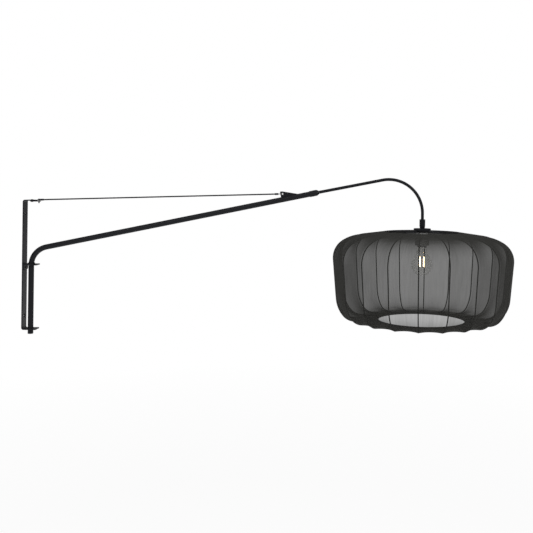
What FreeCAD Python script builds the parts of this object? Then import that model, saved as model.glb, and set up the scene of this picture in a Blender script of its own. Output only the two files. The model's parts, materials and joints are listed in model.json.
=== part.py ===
import FreeCAD, Part
import Sketcher
import math
import os
import re
from FreeCAD import Placement, Rotation, Vector

# A wall lamp on a swinging arm. X runs away from the wall, Y along the wall, Z up.
# The origin lies on the wall, midway between the two screw holes of the strip.
# All lengths are in millimetres and all angles in degrees.

SIZES = {
    # wall strip and its tabs
    "strip_width": 30.0,
    "strip_gauge": 3.0,
    "strip_bend_radius": 6.0,
    "tab_height": 179.5,
    "tab_reach": 39.5,
    "tab_corner_radius": 1.5,
    "screw_spacing": 286.0,
    "screw_hole": 6.0,
    "screw_sink": 10.8,
    # middle tab, riveted to the strip
    "middle_leg": 13.0,
    "middle_rivet_drop": 8.0,
    "rivet_shank": 5.0,
    "rivet_head": 9.0,
    "rivet_head_height": 1.2,
    "rivet_head_flat": 5.4,
    # swing axis, bushes and stop collar
    "swing_reach": 20.5,
    "bush_wall": 1.5,
    "bush_flange": 20.0,
    "bush_flange_gauge": 0.8,
    "run_clearance": 0.05,
    "bend_clearance": 0.25,
    "collar_height": 2.2,
    # arm tube
    "tube_outer": 15.0,
    "tube_wall": 1.5,
    "tube_below_tab": 11.0,
    "bend_start_drop": 1.7,
    "bend_radius": 52.0,
    "arm_slope": 12.05,
    "coupler_reach": 809.0,
    # cable inlet plug
    "inlet_bore": 6.5,
    "inlet_flange_gauge": 1.5,
    "inlet_spigot": 8.0,
    "turned_edge": 0.5,
    # gusset fin and stay
    "fin_reach": 718.2,
    "fin_length": 47.5,
    "fin_height": 15.5,
    "fin_flat": 6.0,
    "fin_gauge": 3.0,
    "fin_hole": 5.0,
    "fin_hole_inset": 5.5,
    "fin_hole_height": 8.2,
    "link_gauge": 2.0,
    "link_width": 10.0,
    "link_length": 19.4,
    "hook_pin": 3.5,
    "hook_pin_above": 4.6,
    "hook_pin_below": 4.5,
    "hook_pin_head": 5.4,
    "hook_pin_head_height": 1.4,
    "stay_thickness": 3.8,
    "eye_outer": 7.8,
    "eye_gauge": 3.0,
    "crimp_outer": 5.4,
    "crimp_length": 9.0,
    "loop_radius": 5.5,
    "loop_wire": 2.2,
    # coupler and neck
    "coupler_outer": 17.0,
    "coupler_grip": 13.0,
    "grub_lift": 4.0,
    "coupler_taper": 5.6,
    "coupler_nose": 11.0,
    "grub_thread": 4.0,
    "neck_outer": 8.5,
    "neck_wall": 1.0,
    "neck_slope": 11.6,
    "neck_ease_radius": 400.0,
    "neck_radius": 94.0,
    "neck_drop": 30.4,
    "shade_reach": 1113.0,
    # stack at the neck's end
    "ferrule_outer": 16.0,
    "ferrule_length": 25.4,
    "ferrule_grip": 14.0,
    "ferrule_taper": 6.0,
    "ferrule_nose": 13.0,
    "disc_outer": 48.0,
    "disc_height": 7.0,
    "disc_chamfer": 1.0,
    "nipple_outer": 10.0,
    "nipple_bore": 7.0,
    "nipple_in_cap": 8.0,
    "hub_outer": 34.0,
    "hub_gauge": 2.0,
    # lampholder
    "cap_top_outer": 24.0,
    "cap_outer": 38.0,
    "cap_height": 17.0,
    "cap_wall": 1.6,
    "cap_neck_height": 8.0,
    "cap_bend_height": 7.6,
    "cap_skirt_height": 10.2,
    "cap_bend_inset": 2.0,
    "cap_inner_crown": 2.4,
    "holder_outer": 39.0,
    "holder_height": 25.0,
    "holder_wall": 2.4,
    "holder_floor": 4.0,
    "holder_floor_hole": 4.0,
    "holder_fit": 0.1,
    "shell_wall": 0.5,
    "shell_height": 19.0,
    "shell_rim": 2.0,
    "contact_width": 8.0,
    "contact_gauge": 0.8,
    "contact_length": 14.0,
    "terminal_width": 4.0,
    "terminal_length": 12.0,
    "terminal_spacing": 12.0,
    "terminal_height": 4.0,
    "flex_outer": 5.0,
    # bulb
    "bulb_thread": 26.4,
    "bulb_cap_height": 25.0,
    "bulb_cap_tip": 6.0,
    "bulb_cap_tip_height": 1.0,
    "bulb_cap_cone_height": 4.0,
    "bulb_cap_shoulder": 6.0,
    "bulb_cap_cone_inset": 1.5,
    "bulb_cap_rim": 1.0,
    "bulb_cap_shell": 2.0,
    "bulb_tip_gap": 0.3,
    "bulb_length": 105.0,
    "bulb_outer": 60.0,
    "bulb_glass_wall": 0.8,
    "bulb_throat": 24.0,
    "bulb_shoulder": 32.0,
    "bulb_waist_inset": 1.6,
    "bulb_waist_rise": 0.6,
    "bulb_fit": 0.1,
    "stem_outer": 9.0,
    "stem_height": 29.0,
    "stem_flare": 8.0,
    "stick_overlap": 3.0,
    "filament_outer": 2.0,
    "filament_height": 28.0,
    "filament_spacing": 10.6,
    "filament_gap": 4.0,
    "support_wire": 0.6,
    "support_rise": 8.0,
    "stem_rod": 2.4,
    # shade frame
    "shade_radius": 250.2,
    "shade_depth": 245.0,
    "shade_top_radius": 107.0,
    "shade_bottom_radius": 122.0,
    "shade_drop": 2.6,
    "top_slope": 8.0,
    "shoulder_radius": 115.0,
    "shoulder_slope": 33.0,
    "upper_radius": 58.0,
    "side_slope": 95.0,
    "lower_radius": 85.0,
    "lower_slope": 130.0,
    "heel_radius": 45.0,
    "ring_wire": 3.0,
    "rib_wire": 3.0,
    "rib_count": 20,
    "first_rib_turn": 9.0,
    "spoke_wire": 3.0,
    "spoke_count": 4,
    "spoke_turn": 45.0,
    "spoke_weld": 2.0,
    # fabric
    "cover_gap": 0.3,
    "cover_gauge": 1.0,
    "hem_gap": 0.3,
    "hem_gauge": 0.8,
    "top_hem_from": 140.0,
    "top_hem_to": 275.0,
    "bottom_hem_from": 75.0,
    "bottom_hem_to": 220.0,
}

doc = FreeCAD.newDocument("swing_arm_wall_lamp")
sheet = doc.addObject("Spreadsheet::Sheet", "Sizes")
for row, (alias, number) in enumerate(SIZES.items(), start=1):
    sheet.set("A%d" % row, alias)
    sheet.set("B%d" % row, str(number))
    sheet.setAlias("B%d" % row, alias)
doc.recompute()

UP = Vector(0, 0, 1)
ACROSS = Vector(0, 1, 0)


def size(alias):
    return float(sheet.get(alias))


def bind(thing, prop, formula):
    """Ties a property to a formula on the sheet's sizes."""
    def spelled(word):
        return "Sizes." + word.group(0) if word.group(0) in SIZES else word.group(0)
    thing.setExpression(prop, re.sub(r"[a-z_]+", spelled, formula))


def place(thing, x="0", y="0", z="0"):
    for axis, formula in zip("xyz", (x, y, z)):
        bind(thing, "Placement.Base." + axis, formula)
    return thing


class Route:
    """A run of straights and tangent right-hand bends in the XZ plane."""

    def __init__(self, x, z, heading):
        self.point = Vector(x, 0, z)
        self.heading = heading
        self.edges = []
        self.length = 0.0

    def ahead(self):
        angle = math.radians(self.heading)
        return Vector(math.cos(angle), 0, math.sin(angle))

    def along_bend(self, radius, turn):
        start = math.radians(self.heading)
        stop = math.radians(self.heading - turn)
        across = math.sin(start) - math.sin(stop)
        rise = math.cos(stop) - math.cos(start)
        return self.point + Vector(across, 0, rise) * radius

    def straight(self, run):
        end = self.point + self.ahead() * run
        self.edges.append(Part.LineSegment(self.point, end).toShape())
        self.point = end
        self.length += run
        return self

    def bend(self, radius, turn):
        middle = self.along_bend(radius, turn / 2)
        end = self.along_bend(radius, turn)
        self.edges.append(Part.Arc(self.point, middle, end).toShape())
        self.point = end
        self.heading -= turn
        self.length += radius * math.radians(turn)
        return self

    def rod(self, radius):
        start = self.edges[0].Vertexes[0].Point
        heading = self.edges[0].tangentAt(self.edges[0].FirstParameter)
        ring = Part.Wire([Part.makeCircle(radius, start, heading)])
        return Part.Wire(self.edges).makePipeShell([ring], True, True)


def tilt(slope):
    """Turns a piece that was drawn along Z so that it lies along the sloping arm."""
    return Rotation(ACROSS, 90 - slope)


def feature(label, shape, placement=Placement()):
    piece = doc.addObject("Part::Feature", label)
    piece.Label = label
    piece.Shape = shape
    piece.Placement = placement
    return piece


def body(label):
    piece = doc.addObject("PartDesign::Body", label)
    piece.Label = label
    return piece


def plane(piece, role):
    return next(item for item in piece.Origin.OriginFeatures if item.Role == role)


def sketch(piece, role, name, lift="0"):
    drawing = piece.newObject("Sketcher::SketchObject", piece.Label + "_" + name)
    drawing.AttachmentSupport = [(plane(piece, role), "")]
    drawing.MapMode = "FlatFace"
    bind(drawing, "AttachmentOffset.Base.z", lift)
    return drawing


def draw_outline(drawing, corners):
    """Draws a closed outline whose corners are pairs of formulas."""
    count = len(corners)
    start = [Vector(math.cos(2 * math.pi * i / count), math.sin(2 * math.pi * i / count), 0)
             for i in range(count)]
    for i in range(count):
        drawing.addGeometry(Part.LineSegment(start[i], start[(i + 1) % count]), False)
    for i in range(count):
        drawing.addConstraint(Sketcher.Constraint("Coincident", i, 2, (i + 1) % count, 1))
    for i, (across, up) in enumerate(corners):
        for kind, formula, value in (("DistanceX", across, start[i].x), ("DistanceY", up, start[i].y)):
            index = drawing.addConstraint(Sketcher.Constraint(kind, -1, 1, i, 1, value))
            bind(drawing, "Constraints[%d]" % index, formula)


def draw_circle(drawing, x, y, diameter):
    drawing.addGeometry(Part.Circle(Vector(1, 1, 0), UP, 1), False)
    for kind, formula in (("DistanceX", x), ("DistanceY", y)):
        index = drawing.addConstraint(Sketcher.Constraint(kind, -1, 1, 0, 3, 1.0))
        bind(drawing, "Constraints[%d]" % index, formula)
    index = drawing.addConstraint(Sketcher.Constraint("Diameter", 0, 2.0))
    bind(drawing, "Constraints[%d]" % index, diameter)


def pad(piece, drawing, formula):
    block = piece.newObject("PartDesign::Pad", drawing.Name + "_pad")
    block.Profile = drawing
    block.SideType = "Symmetric"
    bind(block, "Length", formula)
    doc.recompute()
    return block


def pocket(piece, drawing, formula):
    hole = piece.newObject("PartDesign::Pocket", drawing.Name + "_pocket")
    hole.Profile = drawing
    hole.SideType = "Symmetric"
    bind(hole, "Length", formula)
    doc.recompute()
    return hole


def round_edges(piece, base, picked, formula):
    names = ["Edge%d" % (i + 1) for i, edge in enumerate(base.Shape.Edges) if picked(edge)]
    rounded = piece.newObject("PartDesign::Fillet", piece.Label + "_round")
    rounded.Base = (base, names)
    bind(rounded, "Radius", formula)
    doc.recompute()
    return rounded


def turned(label, corners):
    """A piece turned about Z: corners are pairs of radius and height."""
    piece = body(label)
    drawing = sketch(piece, "XZ_Plane", "profile")
    draw_outline(drawing, corners)
    spin = piece.newObject("PartDesign::Revolution", label + "_turned")
    spin.Profile = drawing
    spin.ReferenceAxis = (drawing, ["V_Axis"])
    spin.Angle = 360
    doc.recompute()
    return piece


def near(value, target):
    return abs(value - target) < 0.01


def middle_of(x, y, z):
    """A test for edges whose middle is at x, z and at y on either side."""
    def test(edge):
        middle = edge.CenterOfMass
        return near(middle.x, x) and near(abs(middle.y), y) and near(middle.z, z)
    return test


# ---------------------------------------------------------------- wall strip and tabs

gauge = size("strip_gauge")
half_width = size("strip_width") / 2
strip_top = size("tab_height") + gauge / 2
pivot_tab_reach = size("swing_reach") + half_width


def wall_strip():
    """Flat bar bent into a tall C; the top tab ends in a half-round about the pivot."""
    piece = body("wall_strip")
    drawing = sketch(piece, "XZ_Plane", "side")
    top = "tab_height + strip_gauge / 2"
    under = "tab_height - strip_gauge / 2"
    draw_outline(drawing, [
        ("0", "-(%s)" % top),
        ("tab_reach", "-(%s)" % top),
        ("tab_reach", "-(%s)" % under),
        ("strip_gauge", "-(%s)" % under),
        ("strip_gauge", under),
        ("swing_reach + strip_width / 2", under),
        ("swing_reach + strip_width / 2", top),
        ("0", top),
    ])
    base = pad(piece, drawing, "strip_width")
    for x, z, formula in ((0, strip_top, "strip_bend_radius"),
                          (gauge, strip_top - gauge, "strip_bend_radius - strip_gauge")):
        for side in (1, -1):
            base = round_edges(piece, base, middle_of(x, 0, side * z), formula)
    base = round_edges(piece, base, middle_of(pivot_tab_reach, half_width, size("tab_height")),
                       "strip_width / 2 - strip_gauge / 6")
    round_edges(piece, base, middle_of(size("tab_reach"), half_width, -size("tab_height")),
                "tab_corner_radius")
    bush_seat = "tube_outer + 2 * run_clearance + 2 * bush_wall"
    for name, lift, diameter in (("rivet_hole", "tab_height", "rivet_shank"),
                                 ("bush_hole", "-tab_height", bush_seat)):
        hole = sketch(piece, "XY_Plane", name, lift)
        draw_circle(hole, "swing_reach", "0", diameter)
        pocket(piece, hole, "strip_gauge * 2")
    for name, side in (("upper", ""), ("lower", "-")):
        hole = sketch(piece, "YZ_Plane", name + "_screw", "strip_gauge / 2")
        draw_circle(hole, "0", side + "screw_spacing / 2", "screw_hole")
        drilled = pocket(piece, hole, "strip_gauge * 2")
        sunk = piece.newObject("PartDesign::Chamfer", name + "_sink")
        rim = ["Edge%d" % (i + 1) for i, edge in enumerate(drilled.Shape.Edges)
               if near(edge.CenterOfMass.x, gauge) and near(edge.CenterOfMass.y, 0)
               and near(edge.CenterOfMass.z, float(side + "1") * size("screw_spacing") / 2)
               and edge.Curve.TypeId == "Part::GeomCircle"]
        sunk.Base = (drilled, rim)
        bind(sunk, "Size", "(screw_sink - screw_hole) / 2")
        doc.recompute()
    hole = sketch(piece, "YZ_Plane", "middle_rivet", "strip_gauge / 2")
    draw_circle(hole, "0", "-middle_rivet_drop", "rivet_shank")
    pocket(piece, hole, "strip_gauge * 2")


def middle_tab():
    """Small angle that stands on the strip's face and guides the tube where it bends."""
    piece = body("middle_tab")
    drawing = sketch(piece, "XZ_Plane", "side")
    top = "strip_gauge / 2"
    draw_outline(drawing, [
        ("strip_gauge", "-middle_leg - " + top),
        ("strip_gauge * 2", "-middle_leg - " + top),
        ("strip_gauge * 2", "-" + top),
        ("tab_reach", "-" + top),
        ("tab_reach", top),
        ("strip_gauge", top),
    ])
    base = pad(piece, drawing, "strip_width")
    low = -size("middle_leg") - gauge / 2
    base = round_edges(piece, base, middle_of(gauge * 1.5, half_width, low), "strip_width / 5")
    round_edges(piece, base, middle_of(size("tab_reach"), half_width, 0), "tab_corner_radius")
    hole = sketch(piece, "XY_Plane", "bush_hole")
    draw_circle(hole, "swing_reach", "0", "tube_outer + 2 * bend_clearance + 2 * bush_wall")
    pocket(piece, hole, "strip_gauge * 2")
    hole = sketch(piece, "YZ_Plane", "rivet_hole", "strip_gauge * 1.5")
    draw_circle(hole, "0", "-middle_rivet_drop", "rivet_shank")
    pocket(piece, hole, "strip_gauge * 2")


def rivet(label, grip, x, z, lower_gap="0"):
    """Round rivet along Z: its shank spans the grip, with a domed head at each end."""
    piece = turned(label, [
        ("0", "-(%s) / 2 - rivet_head_height - (%s)" % (grip, lower_gap)),
        ("rivet_head_flat / 2", "-(%s) / 2 - rivet_head_height - (%s)" % (grip, lower_gap)),
        ("rivet_head / 2", "-(%s) / 2 - (%s)" % (grip, lower_gap)),
        ("rivet_shank / 2", "-(%s) / 2 - (%s)" % (grip, lower_gap)),
        ("rivet_shank / 2", "(%s) / 2" % grip),
        ("rivet_head / 2", "(%s) / 2" % grip),
        ("rivet_head_flat / 2", "(%s) / 2 + rivet_head_height" % grip),
        ("0", "(%s) / 2 + rivet_head_height" % grip),
    ])
    return place(piece, x, "0", z)


def strip_fittings():
    # The rear head of the middle rivet is filed flush, so that the strip lies flat on the wall.
    flush = turned("middle_tab_rivet", [
        ("0", "0"),
        ("rivet_shank / 2", "0"),
        ("rivet_shank / 2", "strip_gauge * 2"),
        ("rivet_head / 2", "strip_gauge * 2"),
        ("rivet_head_flat / 2", "strip_gauge * 2 + rivet_head_height"),
        ("0", "strip_gauge * 2 + rivet_head_height"),
    ])
    flush.Placement = Placement(Vector(), Rotation(ACROSS, 90))
    bind(flush, "Placement.Base.z", "-middle_rivet_drop")
    rivet("link_rivet", "strip_gauge + link_gauge + run_clearance", "swing_reach",
          "tab_height - link_gauge / 2 - run_clearance / 2", "run_clearance")
    for label, clearance, height in (("middle_bush", "bend_clearance", "0"),
                                     ("bottom_bush", "run_clearance", "-tab_height")):
        bore = "tube_outer / 2 + " + clearance
        skirt = bore + " + bush_wall"
        bush = turned(label, [
            (bore, "-strip_gauge / 2"),
            (skirt, "-strip_gauge / 2"),
            (skirt, "strip_gauge / 2"),
            ("bush_flange / 2", "strip_gauge / 2"),
            ("bush_flange / 2", "strip_gauge / 2 + bush_flange_gauge"),
            (bore, "strip_gauge / 2 + bush_flange_gauge"),
        ])
        place(bush, "swing_reach", "0", height)


# ---------------------------------------------------------------- arm tube

swing = size("swing_reach")
tube_radius = size("tube_outer") / 2
tube_bore = tube_radius - size("tube_wall")
slope = size("arm_slope")
tube_bottom = -size("tab_height") - gauge / 2 - size("tube_below_tab")
bend_start = -size("bend_start_drop")
bend_across = size("bend_radius") * (1 - math.sin(math.radians(slope)))
arm_run = (size("coupler_reach") - swing - bend_across) / math.cos(math.radians(slope))


def arm_route():
    route = Route(swing, tube_bottom, 90)
    route.straight(bend_start - tube_bottom)
    route.bend(size("bend_radius"), 90 - slope)
    return route.straight(arm_run)


arm_axis = arm_route()
arm_end = arm_axis.point
arm_ahead = arm_axis.ahead()
arm_up = Vector(-arm_ahead.z, 0, arm_ahead.x)


def on_arm(reach, lift=0.0):
    """A point of the arm's sloping axis at a reach from the wall, raised square to the axis."""
    back = (arm_end.x - reach) / arm_ahead.x
    return arm_end - arm_ahead * back + arm_up * lift


def arm_tube():
    route = arm_route()
    outer = route.rod(tube_radius)
    feature("arm_tube", outer.cut(arm_route().rod(tube_bore)))
    ideal = math.pi * (tube_radius ** 2 - tube_bore ** 2) * route.length
    print("arm tube: bend radius %.0f, volume %.0f, section x length %.0f"
          % (size("bend_radius"), doc.getObject("arm_tube").Shape.Volume, ideal))


def stop_collar():
    """Ring welded round the tube where it starts to bend; the arm's weight rests on it."""
    floor = gauge / 2 + size("bush_flange_gauge") + size("run_clearance")
    ring = Part.makeCylinder(size("bush_flange") / 2, size("collar_height"), Vector(swing, 0, floor))
    feature("stop_collar", ring.cut(arm_route().rod(tube_radius)))


def cable_inlet_plug():
    """Plastic plug in the tube's open lower end, with the bore that the supply cable enters."""
    piece = turned("cable_inlet_plug", [
        ("inlet_bore / 2", "-inlet_flange_gauge"),
        ("tube_outer / 2 - turned_edge", "-inlet_flange_gauge"),
        ("tube_outer / 2", "-inlet_flange_gauge + turned_edge"),
        ("tube_outer / 2", "0"),
        ("tube_outer / 2 - tube_wall", "0"),
        ("tube_outer / 2 - tube_wall", "inlet_spigot"),
        ("inlet_bore / 2", "inlet_spigot"),
    ])
    place(piece, "swing_reach", "0", "-tab_height - strip_gauge / 2 - tube_below_tab")


# ---------------------------------------------------------------- gusset fin and stay

fin_hole = on_arm(size("fin_reach") + size("fin_hole_inset"), tube_radius + size("fin_hole_height"))
link_top = size("tab_height") - gauge / 2 - size("run_clearance")
pin_reach = swing + size("link_length")
eye_centre = Vector(pin_reach, 0, link_top + size("hook_pin_above") - size("eye_gauge") / 2)
stay_line = fin_hole - eye_centre
stay_ahead = Vector(stay_line).normalize()
stay_slope = math.degrees(math.asin(stay_ahead.z))


def gusset_fin():
    """Thin plate welded on the tube's back, square at the wall side and running out on the tube."""
    start = on_arm(size("fin_reach"))
    crown = start + arm_up * (tube_radius + size("fin_height"))
    corners = [start, crown, crown + arm_ahead * size("fin_flat"),
               start + arm_ahead * size("fin_length") + arm_up * tube_radius,
               start + arm_ahead * size("fin_length")]
    face = Part.Face(Part.makePolygon(corners + corners[:1]))
    half = ACROSS * (size("fin_gauge") / 2)
    plate = face.translated(half * -1).extrude(half * 2)
    bore = Part.makeCylinder(size("fin_hole") / 2, size("fin_gauge") * 2,
                             fin_hole - ACROSS * size("fin_gauge"), ACROSS)
    feature("gusset_fin", plate.cut(bore).cut(arm_route().rod(tube_radius)))


def swivel_link():
    """Strap under the top tab that turns with the stay about the arm's own axis."""
    half = size("link_width") / 2
    length = size("link_length")
    strap = Part.makeBox(length, half * 2, size("link_gauge"), Vector(0, -half, 0))
    strap = strap.fuse([Part.makeCylinder(half, size("link_gauge")),
                        Part.makeCylinder(half, size("link_gauge"), Vector(length, 0, 0))])
    pivot = Part.makeCylinder(size("rivet_shank") / 2 + size("run_clearance"), size("link_gauge"))
    pin = Part.makeCylinder(size("hook_pin") / 2, size("link_gauge"), Vector(length, 0, 0))
    strap = strap.cut([pivot, pin]).removeSplitter()
    feature("swivel_link", strap, Placement(Vector(swing, 0, link_top - size("link_gauge")), Rotation()))


def hook_pin():
    piece = turned("hook_pin", [
        ("0", "-link_gauge - hook_pin_below"),
        ("hook_pin / 2 - turned_edge", "-link_gauge - hook_pin_below"),
        ("hook_pin / 2", "-link_gauge - hook_pin_below + turned_edge"),
        ("hook_pin / 2", "hook_pin_above"),
        ("hook_pin_head / 2", "hook_pin_above"),
        ("hook_pin_head / 2 - turned_edge", "hook_pin_above + hook_pin_head_height"),
        ("0", "hook_pin_above + hook_pin_head_height"),
    ])
    place(piece, "swing_reach + link_length", "0", "tab_height - strip_gauge / 2 - run_clearance")


def stay():
    """Taut wire with a pressed eye at the pin and a crimped loop through the fin's hole."""
    thick = size("stay_thickness") / 2
    eye_radius = size("eye_outer") / 2
    sleeve_start = eye_centre + stay_ahead * eye_radius
    wire_start = sleeve_start + stay_ahead * size("crimp_length") * 0.5
    loop_centre = fin_hole - stay_ahead * size("loop_radius")
    loop_back = loop_centre - stay_ahead * (size("loop_radius") + size("loop_wire") / 2)
    wire_end = loop_back - stay_ahead * size("crimp_length") * 0.5

    half = Vector(0, 0, size("eye_gauge") / 2)
    ring = Part.makeCylinder(eye_radius, size("eye_gauge"), eye_centre - half)
    ring = ring.fuse(Part.makeCylinder(size("crimp_outer") / 2, size("crimp_length") + 1,
                                       sleeve_start - stay_ahead, stay_ahead))
    ring = ring.cut([Part.makeCylinder(size("hook_pin") / 2 + size("run_clearance"), size("eye_gauge") * 3,
                                       eye_centre - half * 3),
                     Part.makeCylinder(thick, size("crimp_length"), wire_start, stay_ahead)])
    feature("upper_stay_eye", ring)

    wire = Part.makeCylinder(thick, (wire_end - wire_start).Length, wire_start, stay_ahead)
    feature("stay_wire", wire)

    loop = Part.makeTorus(size("loop_radius"), size("loop_wire") / 2)
    loop.Placement = Placement(loop_centre, Rotation(ACROSS, -stay_slope))
    sleeve = Part.makeCylinder(size("crimp_outer") / 2, size("crimp_length") + 1,
                               loop_back - stay_ahead * size("crimp_length"), stay_ahead)
    sleeve = sleeve.cut(Part.makeCylinder(thick, size("crimp_length") * 0.5,
                                          loop_back - stay_ahead * size("crimp_length"), stay_ahead))
    feature("lower_stay_loop", loop.fuse(sleeve))


# ---------------------------------------------------------------- coupler and neck

neck_turn = size("neck_slope") + 90


def neck_route(head_start=0.0, tail=0.0):
    """The neck's axis: along the arm, eased to its own slope, then over the crook and down."""
    start = arm_end - arm_ahead * head_start
    route = Route(start.x, start.z, slope)
    route.straight(size("coupler_grip") + head_start)
    route.bend(size("neck_ease_radius"), slope - size("neck_slope"))
    crook = size("neck_radius") * (math.sin(math.radians(size("neck_slope"))) + 1)
    route.straight((size("shade_reach") - crook - route.point.x) / route.ahead().x)
    route.bend(size("neck_radius"), neck_turn)
    return route.straight(size("neck_drop") + tail)


neck_end = neck_route().point
neck_foot = neck_end.z


def arm_coupler():
    """Turned sleeve that takes the tube from one side and the neck from the other."""
    piece = turned("arm_coupler", [
        ("tube_outer / 2", "-coupler_grip"),
        ("coupler_outer / 2 - turned_edge", "-coupler_grip"),
        ("coupler_outer / 2", "-coupler_grip + turned_edge"),
        ("coupler_outer / 2", "coupler_grip - coupler_taper"),
        ("coupler_nose / 2", "coupler_grip"),
        ("neck_outer / 2", "coupler_grip"),
        ("neck_outer / 2", "0"),
        ("tube_outer / 2", "0"),
    ])
    hole = sketch(piece, "XY_Plane", "grub_hole", "0")
    hole.AttachmentSupport = [(plane(piece, "YZ_Plane"), "")]
    bind(hole, "AttachmentOffset.Base.z", "coupler_outer / 4 + neck_outer / 4")
    draw_circle(hole, "0", "grub_lift", "grub_thread")
    pocket(piece, hole, "(coupler_outer - neck_outer) / 2 + 0.2")
    piece.Placement = Placement(arm_end, tilt(slope))


def grub(label, thread, inner, outer, placement):
    """Headless screw with a hexagon socket, lying along X."""
    length = outer - inner
    screw = Part.makeCylinder(thread / 2, length, Vector(inner, 0, 0), Vector(1, 0, 0))
    key = Part.makePolygon([Vector(outer, thread / 4 * math.cos(math.radians(60 * i)),
                                   thread / 4 * math.sin(math.radians(60 * i))) for i in range(7)])
    socket = Part.Face(key).extrude(Vector(-length / 2, 0, 0))
    feature(label, screw.cut(socket), placement)


def coupler_screw():
    foot = arm_end + arm_ahead * size("grub_lift")
    grub("coupler_screw", size("grub_thread"), size("neck_outer") / 2, size("coupler_outer") / 2,
         Placement(foot, tilt(slope)))


def neck_tube():
    radius = size("neck_outer") / 2
    bore = radius - size("neck_wall")
    route = neck_route()
    feature("neck_tube", route.rod(radius).cut(neck_route().rod(bore)))
    print("neck: crook radius %.0f, volume %.0f, section x length %.0f"
          % (size("neck_radius"), doc.getObject("neck_tube").Shape.Volume,
             math.pi * (radius ** 2 - bore ** 2) * route.length))


def flex():
    """Two-core cable held inside the holder, the neck and the tube, ending above the inlet plug."""
    route = Route(swing, tube_bottom + size("inlet_spigot") + 2, 90)
    route.straight(bend_start - route.point.z)
    route.bend(size("bend_radius"), 90 - slope)
    route.straight(arm_run)
    tail = neck_route(0, neck_foot - cap_floor)
    route.edges += tail.edges
    feature("inner_flex", route.rod(size("flex_outer") / 2))


# ---------------------------------------------------------------- stack below the neck

ferrule_foot = neck_foot + size("ferrule_grip") - size("ferrule_length")
disc_foot = ferrule_foot - size("disc_height")
hub_foot = disc_foot - size("hub_gauge")
cap_floor = hub_foot - size("nipple_in_cap") - 1
holder_foot = hub_foot - size("cap_height") - size("holder_height") + size("holder_floor")
shade = Vector(size("shade_reach"), 0, 0)
shade_top = hub_foot - size("shade_drop")


def hang(piece, height):
    """Puts a turned piece on the shade's axis with its own zero at a height."""
    piece.Placement = Placement(Vector(size("shade_reach"), 0, height), Rotation())
    return piece


def neck_ferrule():
    """Turned sleeve on the neck's end, screwed on the nipple below."""
    hang(turned("neck_ferrule", [
        ("nipple_outer / 2", "0"),
        ("ferrule_nose / 2", "0"),
        ("ferrule_outer / 2", "ferrule_taper"),
        ("ferrule_outer / 2", "ferrule_length - turned_edge"),
        ("ferrule_outer / 2 - turned_edge", "ferrule_length"),
        ("neck_outer / 2", "ferrule_length"),
        ("neck_outer / 2", "ferrule_length - ferrule_grip"),
        ("nipple_outer / 2", "ferrule_length - ferrule_grip"),
    ]), ferrule_foot)


def shade_disc():
    hang(turned("shade_disc", [
        ("nipple_outer / 2", "0"),
        ("disc_outer / 2 - disc_chamfer", "0"),
        ("disc_outer / 2", "disc_chamfer"),
        ("disc_outer / 2", "disc_height - disc_chamfer"),
        ("disc_outer / 2 - disc_chamfer", "disc_height"),
        ("nipple_outer / 2", "disc_height"),
    ]), disc_foot)


def threaded_nipple():
    length = neck_foot - hub_foot + size("nipple_in_cap")
    shape = Part.makeCylinder(size("nipple_outer") / 2, length)
    shape = shape.cut(Part.makeCylinder(size("nipple_bore") / 2, shape.BoundBox.ZLength))
    foot = Vector(size("shade_reach"), 0, hub_foot - size("nipple_in_cap"))
    feature("threaded_nipple", shape, Placement(foot, Rotation()))


def holder_cap():
    """Domed metal cap of the lampholder, with a threaded neck for the nipple."""
    hang(turned("holder_cap", [
        ("nipple_outer / 2", "0"),
        ("cap_top_outer / 2", "0"),
        ("cap_outer / 2 - cap_bend_inset", "-cap_bend_height"),
        ("cap_outer / 2", "-cap_skirt_height"),
        ("cap_outer / 2", "-cap_height"),
        ("cap_outer / 2 - cap_wall", "-cap_height"),
        ("cap_outer / 2 - cap_wall", "-cap_skirt_height"),
        ("cap_top_outer / 2 - cap_wall", "-cap_inner_crown"),
        ("nipple_outer / 2 + cap_wall", "-cap_inner_crown"),
        ("nipple_outer / 2 + cap_wall", "-cap_neck_height"),
        ("nipple_outer / 2", "-cap_neck_height"),
    ]), hub_foot)


def holder_body():
    """Moulded cup of the lampholder, open downwards, with a floor that carries the contacts."""
    hang(turned("holder_body", [
        ("holder_floor_hole / 2", "holder_height - holder_floor"),
        ("holder_outer / 2 - holder_wall", "holder_height - holder_floor"),
        ("holder_outer / 2 - holder_wall", "0"),
        ("holder_outer / 2", "0"),
        ("holder_outer / 2", "holder_height - holder_floor"),
        ("cap_outer / 2 - cap_wall - holder_fit", "holder_height - holder_floor"),
        ("cap_outer / 2 - cap_wall - holder_fit", "holder_height"),
        ("holder_floor_hole / 2", "holder_height"),
    ]), holder_foot)


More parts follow.
